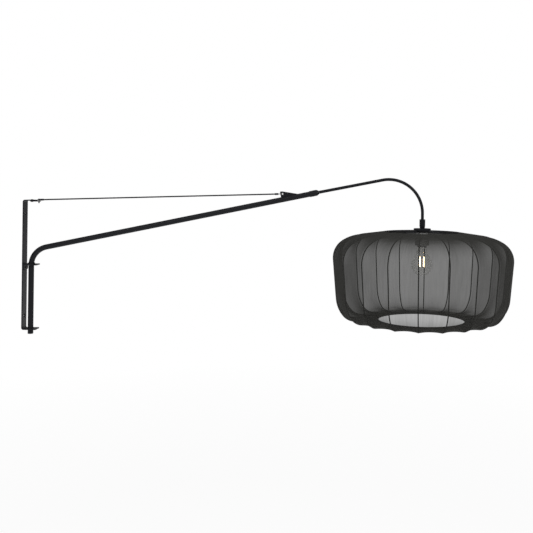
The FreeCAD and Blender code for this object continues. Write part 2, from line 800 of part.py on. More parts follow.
def holder_inside():
    """Screw shell and centre contact that grip the lamp's cap."""
    inner = "holder_outer / 2 - holder_wall"
    ceiling = holder_foot + size("holder_height") - size("holder_floor")
    shell = turned("screw_shell", [
        ("bulb_thread / 2 + run_clearance", "-shell_height"),
        ("bulb_thread / 2 + run_clearance + shell_wall", "-shell_height"),
        ("bulb_thread / 2 + run_clearance + shell_wall", "-shell_rim"),
        (inner, "-shell_rim"),
        (inner, "0"),
        (inner + " - shell_rim", "0"),
        (inner + " - shell_rim", "-shell_rim + shell_wall"),
        ("bulb_thread / 2 + run_clearance", "-shell_rim + shell_wall"),
    ])
    hang(shell, ceiling)
    width = size("contact_width")
    spring = Part.makeBox(size("contact_length"), width, size("contact_gauge"),
                          Vector(-size("contact_length") / 2, -width / 2, -size("contact_gauge")))
    tall = size("terminal_height")
    terminals = [Part.makeBox(size("terminal_width"), size("terminal_length"), tall,
                              Vector(shift - size("terminal_width") / 2, -size("terminal_length") / 2,
                                     size("holder_floor")))
                 for shift in (-size("terminal_spacing") / 2, size("terminal_spacing") / 2)]
    parts = Part.makeCompound([spring] + terminals)
    feature("holder_contacts", parts, Placement(Vector(size("shade_reach"), 0, ceiling), Rotation()))


# ---------------------------------------------------------------- bulb

def bulb():
    """Clear lamp with four glowing filament sticks round a glass stem."""
    ceiling = holder_foot + size("holder_height") - size("holder_floor")
    top = ceiling - size("contact_gauge") - size("bulb_tip_gap")
    hang(turned("bulb_cap", [
        ("0", "0"),
        ("bulb_cap_tip", "0"),
        ("bulb_cap_tip", "-bulb_cap_tip_height"),
        ("bulb_thread / 2 - bulb_cap_cone_inset", "-bulb_cap_cone_height"),
        ("bulb_thread / 2", "-bulb_cap_shoulder"),
        ("bulb_thread / 2", "-bulb_cap_height + bulb_cap_rim"),
        ("bulb_thread / 2 - bulb_cap_rim", "-bulb_cap_height"),
        ("bulb_thread / 2 - bulb_cap_shell", "-bulb_cap_height"),
        ("bulb_thread / 2 - bulb_cap_shell", "-bulb_cap_shoulder"),
        ("0", "-bulb_cap_cone_height"),
    ]), top)

    def envelope(inset):
        # From the throat down: a cone-like shoulder blends into the ball.
        ball = size("bulb_outer") / 2
        radius = ball - inset
        centre = -size("bulb_length") + ball
        throat = size("bulb_throat") / 2 - inset
        cap = -size("bulb_cap_height") - size("bulb_fit")
        shoulder = math.radians(size("bulb_shoulder"))
        lip = Vector(throat, 0, cap)
        leave = Vector(radius * math.cos(shoulder), 0, centre + radius * math.sin(shoulder))
        waist = Vector((lip.x + leave.x) / 2 - size("bulb_waist_inset"), 0,
                       (lip.z + leave.z) / 2 + size("bulb_waist_rise"))
        tip = Vector(0, 0, centre - radius)
        side = Vector(radius, 0, centre)
        edges = [Part.LineSegment(Vector(0, 0, cap), lip).toShape(),
                 Part.Arc(lip, waist, leave).toShape(),
                 Part.Arc(leave, side, tip).toShape(),
                 Part.LineSegment(tip, Vector(0, 0, cap)).toShape()]
        return Part.Face(Part.Wire(edges)).revolve(Vector(), UP, 360)

    glass = envelope(0).cut(envelope(size("bulb_glass_wall")))
    feature("bulb_glass", glass, Placement(Vector(size("shade_reach"), 0, top), Rotation()))

    hung = Placement(Vector(size("shade_reach"), 0, top), Rotation())
    cap_foot = -size("bulb_cap_height") - size("bulb_fit") - size("bulb_glass_wall")
    stem_end = cap_foot - size("stem_height")
    sticks_top = stem_end + size("stick_overlap")
    sticks_foot = sticks_top - size("filament_height")
    rod_end = sticks_foot - size("filament_gap")
    flare = size("stem_flare")
    down = UP * -1
    foot_radius = size("bulb_throat") / 2 - size("bulb_glass_wall")
    stem = Part.makeCone(foot_radius, size("stem_outer") / 2, flare, Vector(0, 0, cap_foot), down)
    stem = stem.fuse([Part.makeCylinder(size("stem_outer") / 2, size("stem_height") - flare,
                                        Vector(0, 0, cap_foot - flare), down),
                      Part.makeCylinder(size("stem_rod") / 2, stem_end - rod_end,
                                        Vector(0, 0, stem_end), down)]).removeSplitter()
    feature("bulb_stem", stem, hung)

    half = size("filament_spacing") / 2
    sticks = []
    wires = []
    for side_x in (-half, half):
        for side_y in (-half, half):
            foot = Vector(side_x, side_y, sticks_foot)
            head = Vector(side_x, side_y, sticks_top)
            sticks.append(Part.makeCylinder(size("filament_outer") / 2, size("filament_height"), foot))
            for start, end in ((head, Vector(0, 0, stem_end + size("support_rise"))),
                               (foot, Vector(0, 0, rod_end + size("stem_rod") / 2))):
                line = end - start
                wires.append(Part.makeCylinder(size("support_wire") / 2, line.Length, start, line))
    feature("bulb_filaments", Part.makeCompound(sticks), hung)
    feature("filament_supports", Part.makeCompound([wire.cut([stem] + sticks) for wire in wires]), hung)


# ---------------------------------------------------------------- shade frame

def rib_route(offset=0.0):
    """One rib from the top ring out, down and in to the bottom ring, shifted square to itself."""
    sine = lambda angle: math.sin(math.radians(angle))
    cosine = lambda angle: math.cos(math.radians(angle))
    top, shoulder, side = size("top_slope"), size("shoulder_slope"), size("side_slope")
    lower = size("lower_slope")
    crown = size("shade_radius") - size("shoulder_radius") * (sine(shoulder) - sine(top)) \
        - size("upper_radius") * (1 - sine(shoulder))
    top_run = (crown - size("shade_top_radius")) / cosine(top)
    upper_drop = top_run * sine(top) + size("shoulder_radius") * (cosine(top) - cosine(shoulder)) \
        + size("upper_radius") * (cosine(shoulder) - cosine(side))
    lower_drop = size("lower_radius") * (cosine(side) - cosine(lower)) \
        + size("heel_radius") * (cosine(lower) + 1)
    side_run = (size("shade_depth") - upper_drop - lower_drop) / sine(side)
    route = Route(size("shade_top_radius"), 0, -top)
    normal = Vector(sine(top), 0, cosine(top))
    route.point = route.point + normal * offset
    route.straight(top_run)
    route.bend(size("shoulder_radius") + offset, shoulder - top)
    route.bend(size("upper_radius") + offset, side - shoulder)
    route.straight(side_run)
    route.bend(size("lower_radius") + offset, lower - side)
    route.bend(size("heel_radius") + offset, 180 - lower)
    return route.straight(route.point.x - size("shade_bottom_radius"))


def ring(radius, wire, height):
    return Part.makeTorus(radius, wire, Vector(0, 0, height))


def shade_place(turn=0.0):
    return Placement(Vector(size("shade_reach"), 0, shade_top), Rotation(UP, turn))


def shade_rings():
    wire = size("ring_wire") / 2
    feature("top_ring", ring(size("shade_top_radius"), wire, 0), shade_place())
    feature("bottom_ring", ring(size("shade_bottom_radius"), wire, -size("shade_depth")), shade_place())


def ribs():
    wire = size("ring_wire") / 2
    rod = rib_route().rod(size("rib_wire") / 2)
    rod = rod.cut([ring(size("shade_top_radius"), wire, 0),
                   ring(size("shade_bottom_radius"), wire, -size("shade_depth"))])
    rod = max(rod.Solids, key=lambda solid: solid.Volume)
    count = int(size("rib_count"))
    for i in range(count):
        feature("rib_%02d" % (i + 1), rod, shade_place(rib_turn(i)))


def rib_turn(index):
    """The ribs are counted from the one that faces along -Y."""
    return size("first_rib_turn") - 90 + 360.0 / size("rib_count") * index


def spokes():
    """Straight wires from the hub down to the inside of the top ring."""
    hub = size("hub_outer") / 2
    weld = size("spoke_weld")
    start = Vector(hub - weld, 0, size("shade_drop") + size("spoke_wire") / 2 - weld)
    end = Vector(size("shade_top_radius") - size("ring_wire") / 4, 0, 0)
    line = end - start
    rods = []
    for i in range(int(size("spoke_count"))):
        rod = Part.makeCylinder(size("spoke_wire") / 2, line.Length, start, line)
        rod.rotate(Vector(), UP, size("spoke_turn") + 360.0 / size("spoke_count") * i)
        rods.append(rod)
    return rods


def shade_spider():
    """Pressed hub with four spokes, trimmed flat where the disc and the lampholder grip it."""
    hub_under = size("shade_drop")
    hub = Part.makeCylinder(size("hub_outer") / 2, size("hub_gauge"), Vector(0, 0, hub_under))
    web = hub.fuse(spokes())
    tall = size("disc_outer")
    above = Part.makeCylinder(size("disc_outer"), tall, Vector(0, 0, hub_under + size("hub_gauge")))
    below = Part.makeCylinder(size("cap_outer") / 2, tall, Vector(0, 0, hub_under - tall))
    hole = Part.makeCylinder(size("nipple_outer") / 2, tall, Vector(0, 0, hub_under - tall / 2))
    web = web.cut([ring(size("shade_top_radius"), size("ring_wire") / 2, 0), above, below, hole])
    web = max(web.Solids, key=lambda solid: solid.Volume)
    feature("shade_spider", web, shade_place())


# ---------------------------------------------------------------- fabric

def shade_cover():
    """Cloth stretched flat from rib to rib, open at the top ring and the bottom ring."""
    inside = size("rib_wire") / 2 + size("cover_gap")
    inner = rib_route(inside)
    outer = rib_route(inside + size("cover_gauge"))
    first = Part.LineSegment(inner.edges[0].Vertexes[0].Point, outer.edges[0].Vertexes[0].Point).toShape()
    last = Part.LineSegment(outer.point, inner.point).toShape()
    loop = Part.Wire(Part.__sortEdges__([first] + outer.edges + [last] + inner.edges))
    sections = []
    for i in range(int(size("rib_count"))):
        section = loop.copy()
        section.rotate(Vector(), UP, rib_turn(i))
        sections.append(section)
    feature("shade_cover", Part.makeLoft(sections, True, True, True), shade_place())


def hems():
    """Cloth folded round each ring wire and in under it, on the side away from the ribs."""
    inner = size("ring_wire") / 2 + size("hem_gap")
    outer = inner + size("hem_gauge")

    def wrap(radius, height, name):
        first, last = size(name + "_from"), size(name + "_to")

        def spot(reach, angle):
            return Vector(radius + reach * math.cos(math.radians(angle)), 0,
                          height + reach * math.sin(math.radians(angle)))
        middle = (first + last) / 2
        edges = [Part.Arc(spot(outer, first), spot(outer, middle), spot(outer, last)).toShape(),
                 Part.LineSegment(spot(outer, last), spot(inner, last)).toShape(),
                 Part.Arc(spot(inner, last), spot(inner, middle), spot(inner, first)).toShape(),
                 Part.LineSegment(spot(inner, first), spot(outer, first)).toShape()]
        return Part.Face(Part.Wire(edges)).revolve(Vector(), UP, 360)

    # Each wrap stops where it meets the cover on one side and the ribs on the other.
    top = wrap(size("shade_top_radius"), 0, "top_hem")
    feature("top_hem", top.cut(spokes()), shade_place())
    bottom = wrap(size("shade_bottom_radius"), -size("shade_depth"), "bottom_hem")
    feature("bottom_hem", bottom, shade_place())


# ---------------------------------------------------------------- build and write

wall_strip()
middle_tab()
strip_fittings()
arm_tube()
stop_collar()
cable_inlet_plug()
gusset_fin()
swivel_link()
hook_pin()
stay()
arm_coupler()
coupler_screw()
neck_tube()
flex()
neck_ferrule()
shade_disc()
threaded_nipple()
holder_cap()
holder_body()
holder_inside()
bulb()
shade_rings()
ribs()
shade_spider()
shade_cover()
hems()
doc.recompute()

nodes = [item for item in doc.Objects if item.TypeId in ("PartDesign::Body", "Part::Feature")]
for item in doc.Objects:
    if "Invalid" in item.State or "Error" in item.State:
        raise RuntimeError("%s failed to build" % item.Label)
for node in nodes:
    if node.Shape.isNull() or not node.Shape.isValid() or not node.Shape.Solids:
        raise RuntimeError("%s has no valid solid" % node.Label)

os.makedirs("parts", exist_ok=True)
for node in nodes:
    node.Shape.exportStep("parts/%s.step" % node.Label)
print("%d parts written" % len(nodes))
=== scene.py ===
import bpy
import bmesh
import json
import math
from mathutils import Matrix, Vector


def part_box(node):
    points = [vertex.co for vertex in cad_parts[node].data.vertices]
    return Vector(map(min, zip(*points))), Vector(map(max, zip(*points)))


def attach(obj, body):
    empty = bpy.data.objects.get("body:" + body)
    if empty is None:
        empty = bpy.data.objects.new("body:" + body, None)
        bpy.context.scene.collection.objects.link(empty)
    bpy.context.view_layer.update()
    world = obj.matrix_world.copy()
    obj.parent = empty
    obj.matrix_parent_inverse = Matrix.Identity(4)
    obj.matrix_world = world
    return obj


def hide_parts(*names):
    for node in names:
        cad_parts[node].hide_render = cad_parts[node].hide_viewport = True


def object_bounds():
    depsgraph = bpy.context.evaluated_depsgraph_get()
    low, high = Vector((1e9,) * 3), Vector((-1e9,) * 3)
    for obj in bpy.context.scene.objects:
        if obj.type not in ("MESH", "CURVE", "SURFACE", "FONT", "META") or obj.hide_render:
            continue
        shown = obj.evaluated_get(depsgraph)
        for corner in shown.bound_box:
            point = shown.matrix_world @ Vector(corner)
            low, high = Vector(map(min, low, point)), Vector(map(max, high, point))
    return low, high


# Swinging wall lamp with a gauze drum shade. Metres, X away from the wall, Z up.

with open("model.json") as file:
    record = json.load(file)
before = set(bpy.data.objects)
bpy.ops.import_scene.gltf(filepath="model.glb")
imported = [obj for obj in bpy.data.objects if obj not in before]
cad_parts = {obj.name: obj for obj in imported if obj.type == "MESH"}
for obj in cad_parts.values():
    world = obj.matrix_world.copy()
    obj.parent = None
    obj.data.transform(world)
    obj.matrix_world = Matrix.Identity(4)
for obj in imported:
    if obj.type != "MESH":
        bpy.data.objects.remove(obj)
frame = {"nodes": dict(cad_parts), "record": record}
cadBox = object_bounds()
nodes = frame["nodes"]
print("frame loaded:", len(nodes), "pieces")


def deselectAll():
    if bpy.context.object and bpy.context.object.mode != "OBJECT":
        bpy.ops.object.mode_set(mode="OBJECT")
    bpy.ops.object.select_all(action="DESELECT")


def takeNew(name):
    piece = bpy.context.object
    piece.name = name
    piece.data.name = name
    return piece


def pick(piece):
    deselectAll()
    piece.select_set(True)
    bpy.context.view_layer.objects.active = piece


def settle(piece):   # object to the origin, its place into its mesh
    pick(piece)
    bpy.ops.object.transform_apply(location=True, rotation=True, scale=True)


def finishPiece(piece, material, body, slotName, *stoodFor):
    settle(piece)
    piece.data.materials.clear()
    piece.data.materials.append(material)
    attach(piece, body)
    if stoodFor:
        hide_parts(*stoodFor)


# set up as the photograph was taken
cameraPlace = {
    "aside": 0.840,            # metres from the wall
    "back": -2.150,            # in front of the plane that the arm hangs in at rest
    "height": 0.222,
    "tiltSideways": -0.72,     # degrees that the picture leans
    "lens": 51.9, "sensor": 36,
    "frameAside": -0.1101, "frameDown": -0.1460,
}
cameraData = bpy.data.cameras.new("photoCamera")
cameraData.lens = cameraPlace["lens"]
cameraData.sensor_width = cameraPlace["sensor"]
cameraData.shift_x = cameraPlace["frameAside"]
cameraData.shift_y = cameraPlace["frameDown"]
photoCamera = bpy.data.objects.new("photoCamera", cameraData)
bpy.context.scene.collection.objects.link(photoCamera)
photoCamera.location = (cameraPlace["aside"], cameraPlace["back"], cameraPlace["height"])
photoCamera.rotation_euler = (math.radians(90), math.radians(cameraPlace["tiltSideways"]), 0)
bpy.context.scene.camera = photoCamera
print("camera set")


# a socket that adds, multiplies and so on by making Math nodes
class Wire:
    def __init__(self, tree, socket):
        self.tree = tree
        self.socket = socket

    def _math(self, operation, other, swap=False):
        first, second = (other, self) if swap else (self, other)
        return self.tree.node("ShaderNodeMath", {"operation": operation}, {0: first, 1: second})

    def __add__(self, other):
        return self._math("ADD", other)

    def __radd__(self, other):
        return self._math("ADD", other, True)

    def __sub__(self, other):
        return self._math("SUBTRACT", other)

    def __rsub__(self, other):
        return self._math("SUBTRACT", other, True)

    def __mul__(self, other):
        return self._math("MULTIPLY", other)

    def __rmul__(self, other):
        return self._math("MULTIPLY", other, True)

    def __truediv__(self, other):
        return self._math("DIVIDE", other)

    def __rtruediv__(self, other):
        return self._math("DIVIDE", other, True)

    def __pow__(self, other):
        return self._math("POWER", other)

    def __rpow__(self, other):
        return self._math("POWER", other, True)

    def clamped(self):
        return self.tree.node("ShaderNodeClamp", {}, {"Value": self})


# a material's node tree; node() makes any node from its settings and its inputs
class Tree:
    def __init__(self, name):
        self.material = bpy.data.materials.new(name)
        self.material.use_nodes = True
        self.nodes = self.material.node_tree.nodes
        self.links = self.material.node_tree.links
        self.nodes.clear()
        self.output = self.nodes.new("ShaderNodeOutputMaterial")

    def node(self, kind, settings=None, inputs=None, out=0):
        made = self.nodes.new(kind)
        for key, value in (settings or {}).items():
            setattr(made, key, value)
        for key, value in (inputs or {}).items():
            if isinstance(value, Wire):
                self.links.new(value.socket, made.inputs[key])
            else:
                made.inputs[key].default_value = value
        return Wire(self, made.outputs[out])

    def coords(self, which="Object"):
        return self.node("ShaderNodeTexCoord", {}, {}, which)

    def noise(self, scale, detail=3.0, rough=0.5, vector=None, stretch=None):
        place = vector or self.coords()
        if stretch:
            place = self.node("ShaderNodeMapping", {}, {"Vector": place, "Scale": stretch})
        return self.node("ShaderNodeTexNoise", {}, {"Vector": place, "Scale": scale, "Detail": detail,
                                                    "Roughness": rough})

    def mixColour(self, factor, first, second):
        mixed = self.nodes.new("ShaderNodeMix")
        mixed.data_type = "RGBA"
        for index, value in ((0, factor), (6, first), (7, second)):
            if isinstance(value, Wire):
                self.links.new(value.socket, mixed.inputs[index])
            else:
                mixed.inputs[index].default_value = value
        return Wire(self, mixed.outputs[2])

    def bump(self, height, strength, distance):
        return self.node("ShaderNodeBump", {}, {"Height": height, "Strength": strength,
                                                "Distance": distance})

    def principled(self, **inputs):
        named = {key.replace("_", " "): value for key, value in inputs.items()}
        return self.node("ShaderNodeBsdfPrincipled", {}, named)

    def finish(self, shader):
        self.links.new(shader.socket, self.output.inputs["Surface"])
        return self.material


def grey(level):
    return (level, level, level, 1)


def toned(colour, factor):   # lighter or darker, the same hue
    return tuple(channel * factor for channel in colour[:3]) + (1,)


powderCoat = {
    "black": (0.008, 0.0085, 0.0105, 1), "dusty": (0.013, 0.0135, 0.0165, 1),
    "patchScale": 9.0,
    "roughness": 0.34, "roughnessSwing": 0.08,
    "orangePeel": 900.0, "finerPeel": 4500.0,  # noise scales
    "finerShare": 0.3,
    "peelDepth": 0.00006, "peelStrength": 0.5,
    "specular": 0.16,
}


def makePowderCoat():
    tree = Tree("blackPowderCoat")
    patches = tree.noise(powderCoat["patchScale"], 4.0, 0.6)
    peel = tree.noise(powderCoat["orangePeel"], 2.0)
    fine = tree.noise(powderCoat["finerPeel"], 1.0)
    colour = tree.mixColour(patches, powderCoat["black"], powderCoat["dusty"])
    rough = powderCoat["roughness"] + (patches - 0.5) * powderCoat["roughnessSwing"]
    relief = tree.bump(peel + fine * powderCoat["finerShare"], powderCoat["peelStrength"],
                       powderCoat["peelDepth"])
    return tree.finish(tree.principled(Base_Color=colour, Roughness=rough, Normal=relief,
                                       Specular_IOR_Level=powderCoat["specular"]))


plainMetal = {"lineScale": 60.0, "lineStrength": 0.2, "lineDepth": 0.0002,
              "roughnessSwing": 0.12, "darkest": 0.8}


# stretch is how much closer the turning lines lie along Z than round it
def makePlainMetal(name, colour, roughness, stretch):
    tree = Tree(name)
    lines = tree.noise(plainMetal["lineScale"], 3.0, 0.6, stretch=(1, 1, stretch))
    rough = roughness + (lines - 0.5) * plainMetal["roughnessSwing"]
    tone = tree.mixColour(lines, colour, toned(colour, plainMetal["darkest"]))
    relief = tree.bump(lines, plainMetal["lineStrength"], plainMetal["lineDepth"])
    return tree.finish(tree.principled(Base_Color=tone, Roughness=rough, Normal=relief, Metallic=1.0))


plastic = {"grainScale": 900.0, "cloudScale": 30.0, "palest": 1.25, "roughnessSwing": 0.1,
           "grainStrength": 0.25, "grainDepth": 0.0002, "specular": 0.4}


def makeMouldedPlastic(name, colour, roughness):
    tree = Tree(name)
    grain = tree.noise(plastic["grainScale"], 2.0)
    cloud = tree.noise(plastic["cloudScale"], 2.0)
    tone = tree.mixColour(cloud, colour, toned(colour, plastic["palest"]))
    rough = roughness + (cloud - 0.5) * plastic["roughnessSwing"]
    relief = tree.bump(grain, plastic["grainStrength"], plastic["grainDepth"])
    return tree.finish(tree.principled(Base_Color=tone, Roughness=rough, Normal=relief,
                                       Specular_IOR_Level=plastic["specular"]))


stayWire = {
    # dark is painted shade in the grooves between the strands, pale is a painted highlight on their crowns
    "dark": (0.010, 0.010, 0.012, 1), "pale": (0.022, 0.022, 0.026, 1),
    "alongX": 2600.0, "acrossY": 1500.0,       # radians of the strands' wave per metre
    "strandStrength": 0.6, "strandDepth": 0.0004,
    "roughness": 0.5, "specular": 0.1,
}


def makeTwistedWire():   # strands wound round the stay, as slanted bands
    tree = Tree("twistedStayWire")
    along = tree.node("ShaderNodeSeparateXYZ", {}, {0: tree.coords()}, "X")
    across = tree.node("ShaderNodeSeparateXYZ", {}, {0: tree.coords()}, "Y")
    strands = tree.node("ShaderNodeMath", {"operation": "SINE"},
                        {0: along * stayWire["alongX"] + across * stayWire["acrossY"]})
    relief = tree.bump(strands, stayWire["strandStrength"], stayWire["strandDepth"])
    # painted shade and highlight: the bands are darker in the grooves between the strands and paler on
    # their crowns
    tone = tree.mixColour(strands * 0.5 + 0.5, stayWire["dark"], stayWire["pale"])
    return tree.finish(tree.principled(Base_Color=tone, Roughness=stayWire["roughness"], Metallic=0.0,
                                       Normal=relief, Specular_IOR_Level=stayWire["specular"]))


glass = {"tint": (0.985, 0.985, 0.98, 1), "shineRoughness": 0.03, "edgeIor": 1.3,
         "shine": 0.04, "shineSwing": 0.08, "waveScale": 25.0}


def makeGlass():
    tree = Tree("clearBulbGlass")
    clear = tree.node("ShaderNodeBsdfTransparent", {}, {"Color": glass["tint"]})
    mirror = tree.node("ShaderNodeBsdfGlossy", {},
                       {"Color": grey(1.0), "Roughness": glass["shineRoughness"]})
    edge = tree.node("ShaderNodeFresnel", {}, {"IOR": glass["edgeIor"]})
    waves = tree.noise(glass["waveScale"], 1.0)
    shine = (edge * (glass["shine"] + waves * glass["shineSwing"])).clamped()
    return tree.finish(tree.node("ShaderNodeMixShader", {}, {0: shine, 1: clear, 2: mirror}))


filament = {
    "core": (1.0, 0.86, 0.56, 1), "fringe": (0.80, 0.36, 0.07, 1), "strength": 9.0,
    "coat": (0.9, 0.75, 0.35, 1), "coatRoughness": 0.5,
    "grainScale": 500.0, "grainShare": 0.2,
    "fringeWidth": 1.7, "fringeFall": 2.0,
}


def makeFilament():   # white where it faces the eye, orange at its sides
    tree = Tree("litFilament")
    grain = tree.noise(filament["grainScale"], 1.0)
    facing = tree.node("ShaderNodeLayerWeight", {}, {"Blend": 0.5}, "Facing")
    side = (facing * filament["fringeWidth"] + grain * filament["grainShare"]).clamped()
    glow = tree.mixColour(side ** filament["fringeFall"], filament["core"], filament["fringe"])
    return tree.finish(tree.principled(Base_Color=filament["coat"], Roughness=filament["coatRoughness"],
                                       Emission_Color=glow, Emission_Strength=filament["strength"]))


gauze = {
    "thread": (0.024, 0.0236, 0.0216, 1), "threadPale": (0.038, 0.0374, 0.0344, 1),
    "clearStraightOn": 0.425,                  # share of light that passes between the threads
    "edgeOn": 0.995,                           # just under 1, so cloth seen edge-on doesn't divide by zero
    "streaks": 0.20, "streakStretch": (520.0, 5.0, 1.0),   # once round, top to bottom
    "clouds": 0.03, "cloudStretch": (60.0, 8.0, 1.0),
    "weaveStrength": 0.3, "weaveDepth": 0.0004,
    "roughness": 0.85, "specular": 0.05,
}


# open cloth: less passes between the threads as the cloth turns edge-on
def makeGauze():
    tree = Tree("blackGauze")
    place = tree.coords("UV")
    streaks = tree.noise(1.0, 4.0, 0.7, vector=place, stretch=gauze["streakStretch"])
    clouds = tree.noise(1.0, 3.0, 0.5, vector=place, stretch=gauze["cloudStretch"])
    facing = tree.node("ShaderNodeLayerWeight", {}, {"Blend": 0.5}, "Facing")
    depth = 1.0 / (1.0 - facing * gauze["edgeOn"])
    thin = gauze["clearStraightOn"] + (streaks - 0.5) * gauze["streaks"]
    thin += (clouds - 0.5) * gauze["clouds"]
    covered = (1.0 - thin ** depth).clamped()
    weave = tree.bump(streaks, gauze["weaveStrength"], gauze["weaveDepth"])
    tone = tree.mixColour(streaks, gauze["thread"], gauze["threadPale"])
    cloth = tree.principled(Base_Color=tone, Roughness=gauze["roughness"], Normal=weave,
                            Specular_IOR_Level=gauze["specular"])
    clear = tree.node("ShaderNodeBsdfTransparent")
    return tree.finish(tree.node("ShaderNodeMixShader", {}, {0: covered, 1: clear, 2: cloth}))


# dark is painted shade between the tape's ribs, pale is a painted highlight on their tops
hemTape = {"dark": grey(0.012), "pale": grey(0.03), "ribStretch": (1200.0, 30.0, 1.0),
           "ribStrength": 0.5, "ribDepth": 0.0004, "roughness": 0.9, "specular": 0.2}


def makeHemTape():
    tree = Tree("hemTape")
    ribs = tree.noise(1.0, 3.0, 0.6, vector=tree.coords("UV"), stretch=hemTape["ribStretch"])
    relief = tree.bump(ribs, hemTape["ribStrength"], hemTape["ribDepth"])
    # painted shade and highlight: the tape is darker in the grooves between its ribs and paler on their
    # tops
    return tree.finish(tree.principled(Base_Color=tree.mixColour(ribs, hemTape["dark"], hemTape["pale"]),
                                       Roughness=hemTape["roughness"], Normal=relief,
                                       Specular_IOR_Level=hemTape["specular"]))


finishes = {
    "black_paint": makePowderCoat(),
    "holder_metal": makePlainMetal("satinHolder", (0.62, 0.62, 0.61, 1), 0.5, 4),
    "screw_steel": makePlainMetal("blackenedSteel", (0.09, 0.09, 0.095, 1), 0.42, 6),
    "stay_steel": makeTwistedWire(),
    "black_plastic": makeMouldedPlastic("mouldedPlastic", (0.012, 0.012, 0.013, 1), 0.55),
    "brass": makePlainMetal("plainBrass", (0.62, 0.44, 0.17, 1), 0.32, 8),
    "flex_sheath": makeMouldedPlastic("flexSheath", (0.018, 0.018, 0.018, 1), 0.6),
    "lamp_cap_metal": makePlainMetal("rolledCap", (0.62, 0.62, 0.64, 1), 0.35, 12),
    "clear_glass": makeGlass(),
    "filament_glow": makeFilament(),
    "support_metal": makePlainMetal("leadWire", grey(0.5), 0.3, 1),
    "gauze": makeGauze(),
    "hem_tape": makeHemTape(),
}
slotOf = {item["node"]: item["material_slot"] for item in frame["record"]["subparts"]}
for nodeName, node in nodes.items():
    node.data.materials.clear()
    node.data.materials.append(finishes[slotOf[nodeName]])
print("finishes made")


# gauze stretched over the ribs; metres and degrees
cover = {
    "ribCount": 20,
    "firstRib": -81.0,         # about the shade's axis, from X
    "stepsPerGore": 12,
    "proud": 0.0018,           # the cloth's distance outside a rib's centre line
    "topRadius": 0.107, "bottomRadius": 0.122, "widest": 0.2502, "depth": 0.2450,
    "topSlope": 8.0,
    "shoulder": {"radius": 0.115, "turn": 25.0, "steps": 10},
    "upper": {"radius": 0.058, "turn": 62.0, "steps": 14},
    "lower": {"radius": 0.085, "turn": 35.0, "steps": 10},
    "heel": {"radius": 0.045, "turn": 50.0, "steps": 12},
    "topSteps": 10, "sideSteps": 12, "underSteps": 9,
    "saddle": 0.0045,          # how much deeper the cloth dips between ribs where they bend
    "saddleFrom": 20.0,        # curvature from which it dips fully, per metre
    "saddleBlend": 3,          # profile points each way over which the dip starts
}


def sine(degrees):
    return math.sin(math.radians(degrees))


def cosine(degrees):
    return math.cos(math.radians(degrees))


def acrossBend(bend, heading):   # how far out a bend moves the line
    return bend["radius"] * (sine(heading + bend["turn"]) - sine(heading))


def downBend(bend, heading):
    return bend["radius"] * (cosine(heading) - cosine(heading + bend["turn"]))


# a rib's centre line from the top ring down: radius, depth, curvature, length so far, heading
def ribProfile():
    shoulder, upper, lower, heel = (cover[name] for name in ("shoulder", "upper", "lower", "heel"))
    heading = cover["topSlope"]
    upperStart = heading + shoulder["turn"]
    side = upperStart + upper["turn"]
    heelStart = side + lower["turn"]
    toWidest = acrossBend(shoulder, heading) + upper["radius"] * (1 - sine(upperStart))
    topRun = (cover["widest"] - toWidest - cover["topRadius"]) / cosine(heading)
    drop = topRun * sine(heading) + downBend(shoulder, heading) + downBend(upper, upperStart)
    drop += downBend(lower, side) + downBend(heel, heelStart)
    sideRun = (cover["depth"] - drop) / sine(side)
    points = []
    radius, depth, length = cover["topRadius"], 0.0, 0.0
    for move in ((topRun, cover["topSteps"]), shoulder, upper, (sideRun, cover["sideSteps"]),
                 lower, heel, (None, cover["underSteps"])):
        if isinstance(move, tuple):
            run, steps = move
            if run is None:                    # straight in to the bottom ring
                run = radius - cover["bottomRadius"]
            for i in range(steps):
                far = run * i / steps
                points.append((radius + far * cosine(heading), depth + far * sine(heading), 0.0,
                               length + far, heading))
            radius += run * cosine(heading)
            depth += run * sine(heading)
            length += run
        else:
            for i in range(move["steps"]):
                part = {"radius": move["radius"], "turn": move["turn"] * i / move["steps"]}
                points.append((radius + acrossBend(part, heading), depth + downBend(part, heading),
                               1 / part["radius"], length + part["radius"] * math.radians(part["turn"]),
                               heading + part["turn"]))
            radius += acrossBend(move, heading)
            depth += downBend(move, heading)
            length += move["radius"] * math.radians(move["turn"])
            heading += move["turn"]
    points.append((radius, depth, 0.0, length, heading))
    return points


# faces between neighbouring rings of points, with u once round and v from the first ring to the last
def joinRings(mesh, rings, shares):
    uv = mesh.loops.layers.uv.new("cloth")
    around = len(rings[0])
    for i in range(len(rings) - 1):
        for j in range(around):
            k = (j + 1) % around
            face = mesh.faces.new((rings[i][j], rings[i + 1][j], rings[i + 1][k], rings[i][k]))
            face.smooth = True
            for loop, (u, v) in zip(face.loops, ((j, i), (j, i + 1), (j + 1, i + 1), (j + 1, i))):
                loop[uv].uv = (u / around, shares[v])


def newPiece(name, mesh):
    data = bpy.data.meshes.new(name)
    mesh.to_mesh(data)
    mesh.free()
    piece = bpy.data.objects.new(name, data)
    bpy.context.scene.collection.objects.link(piece)
    return piece


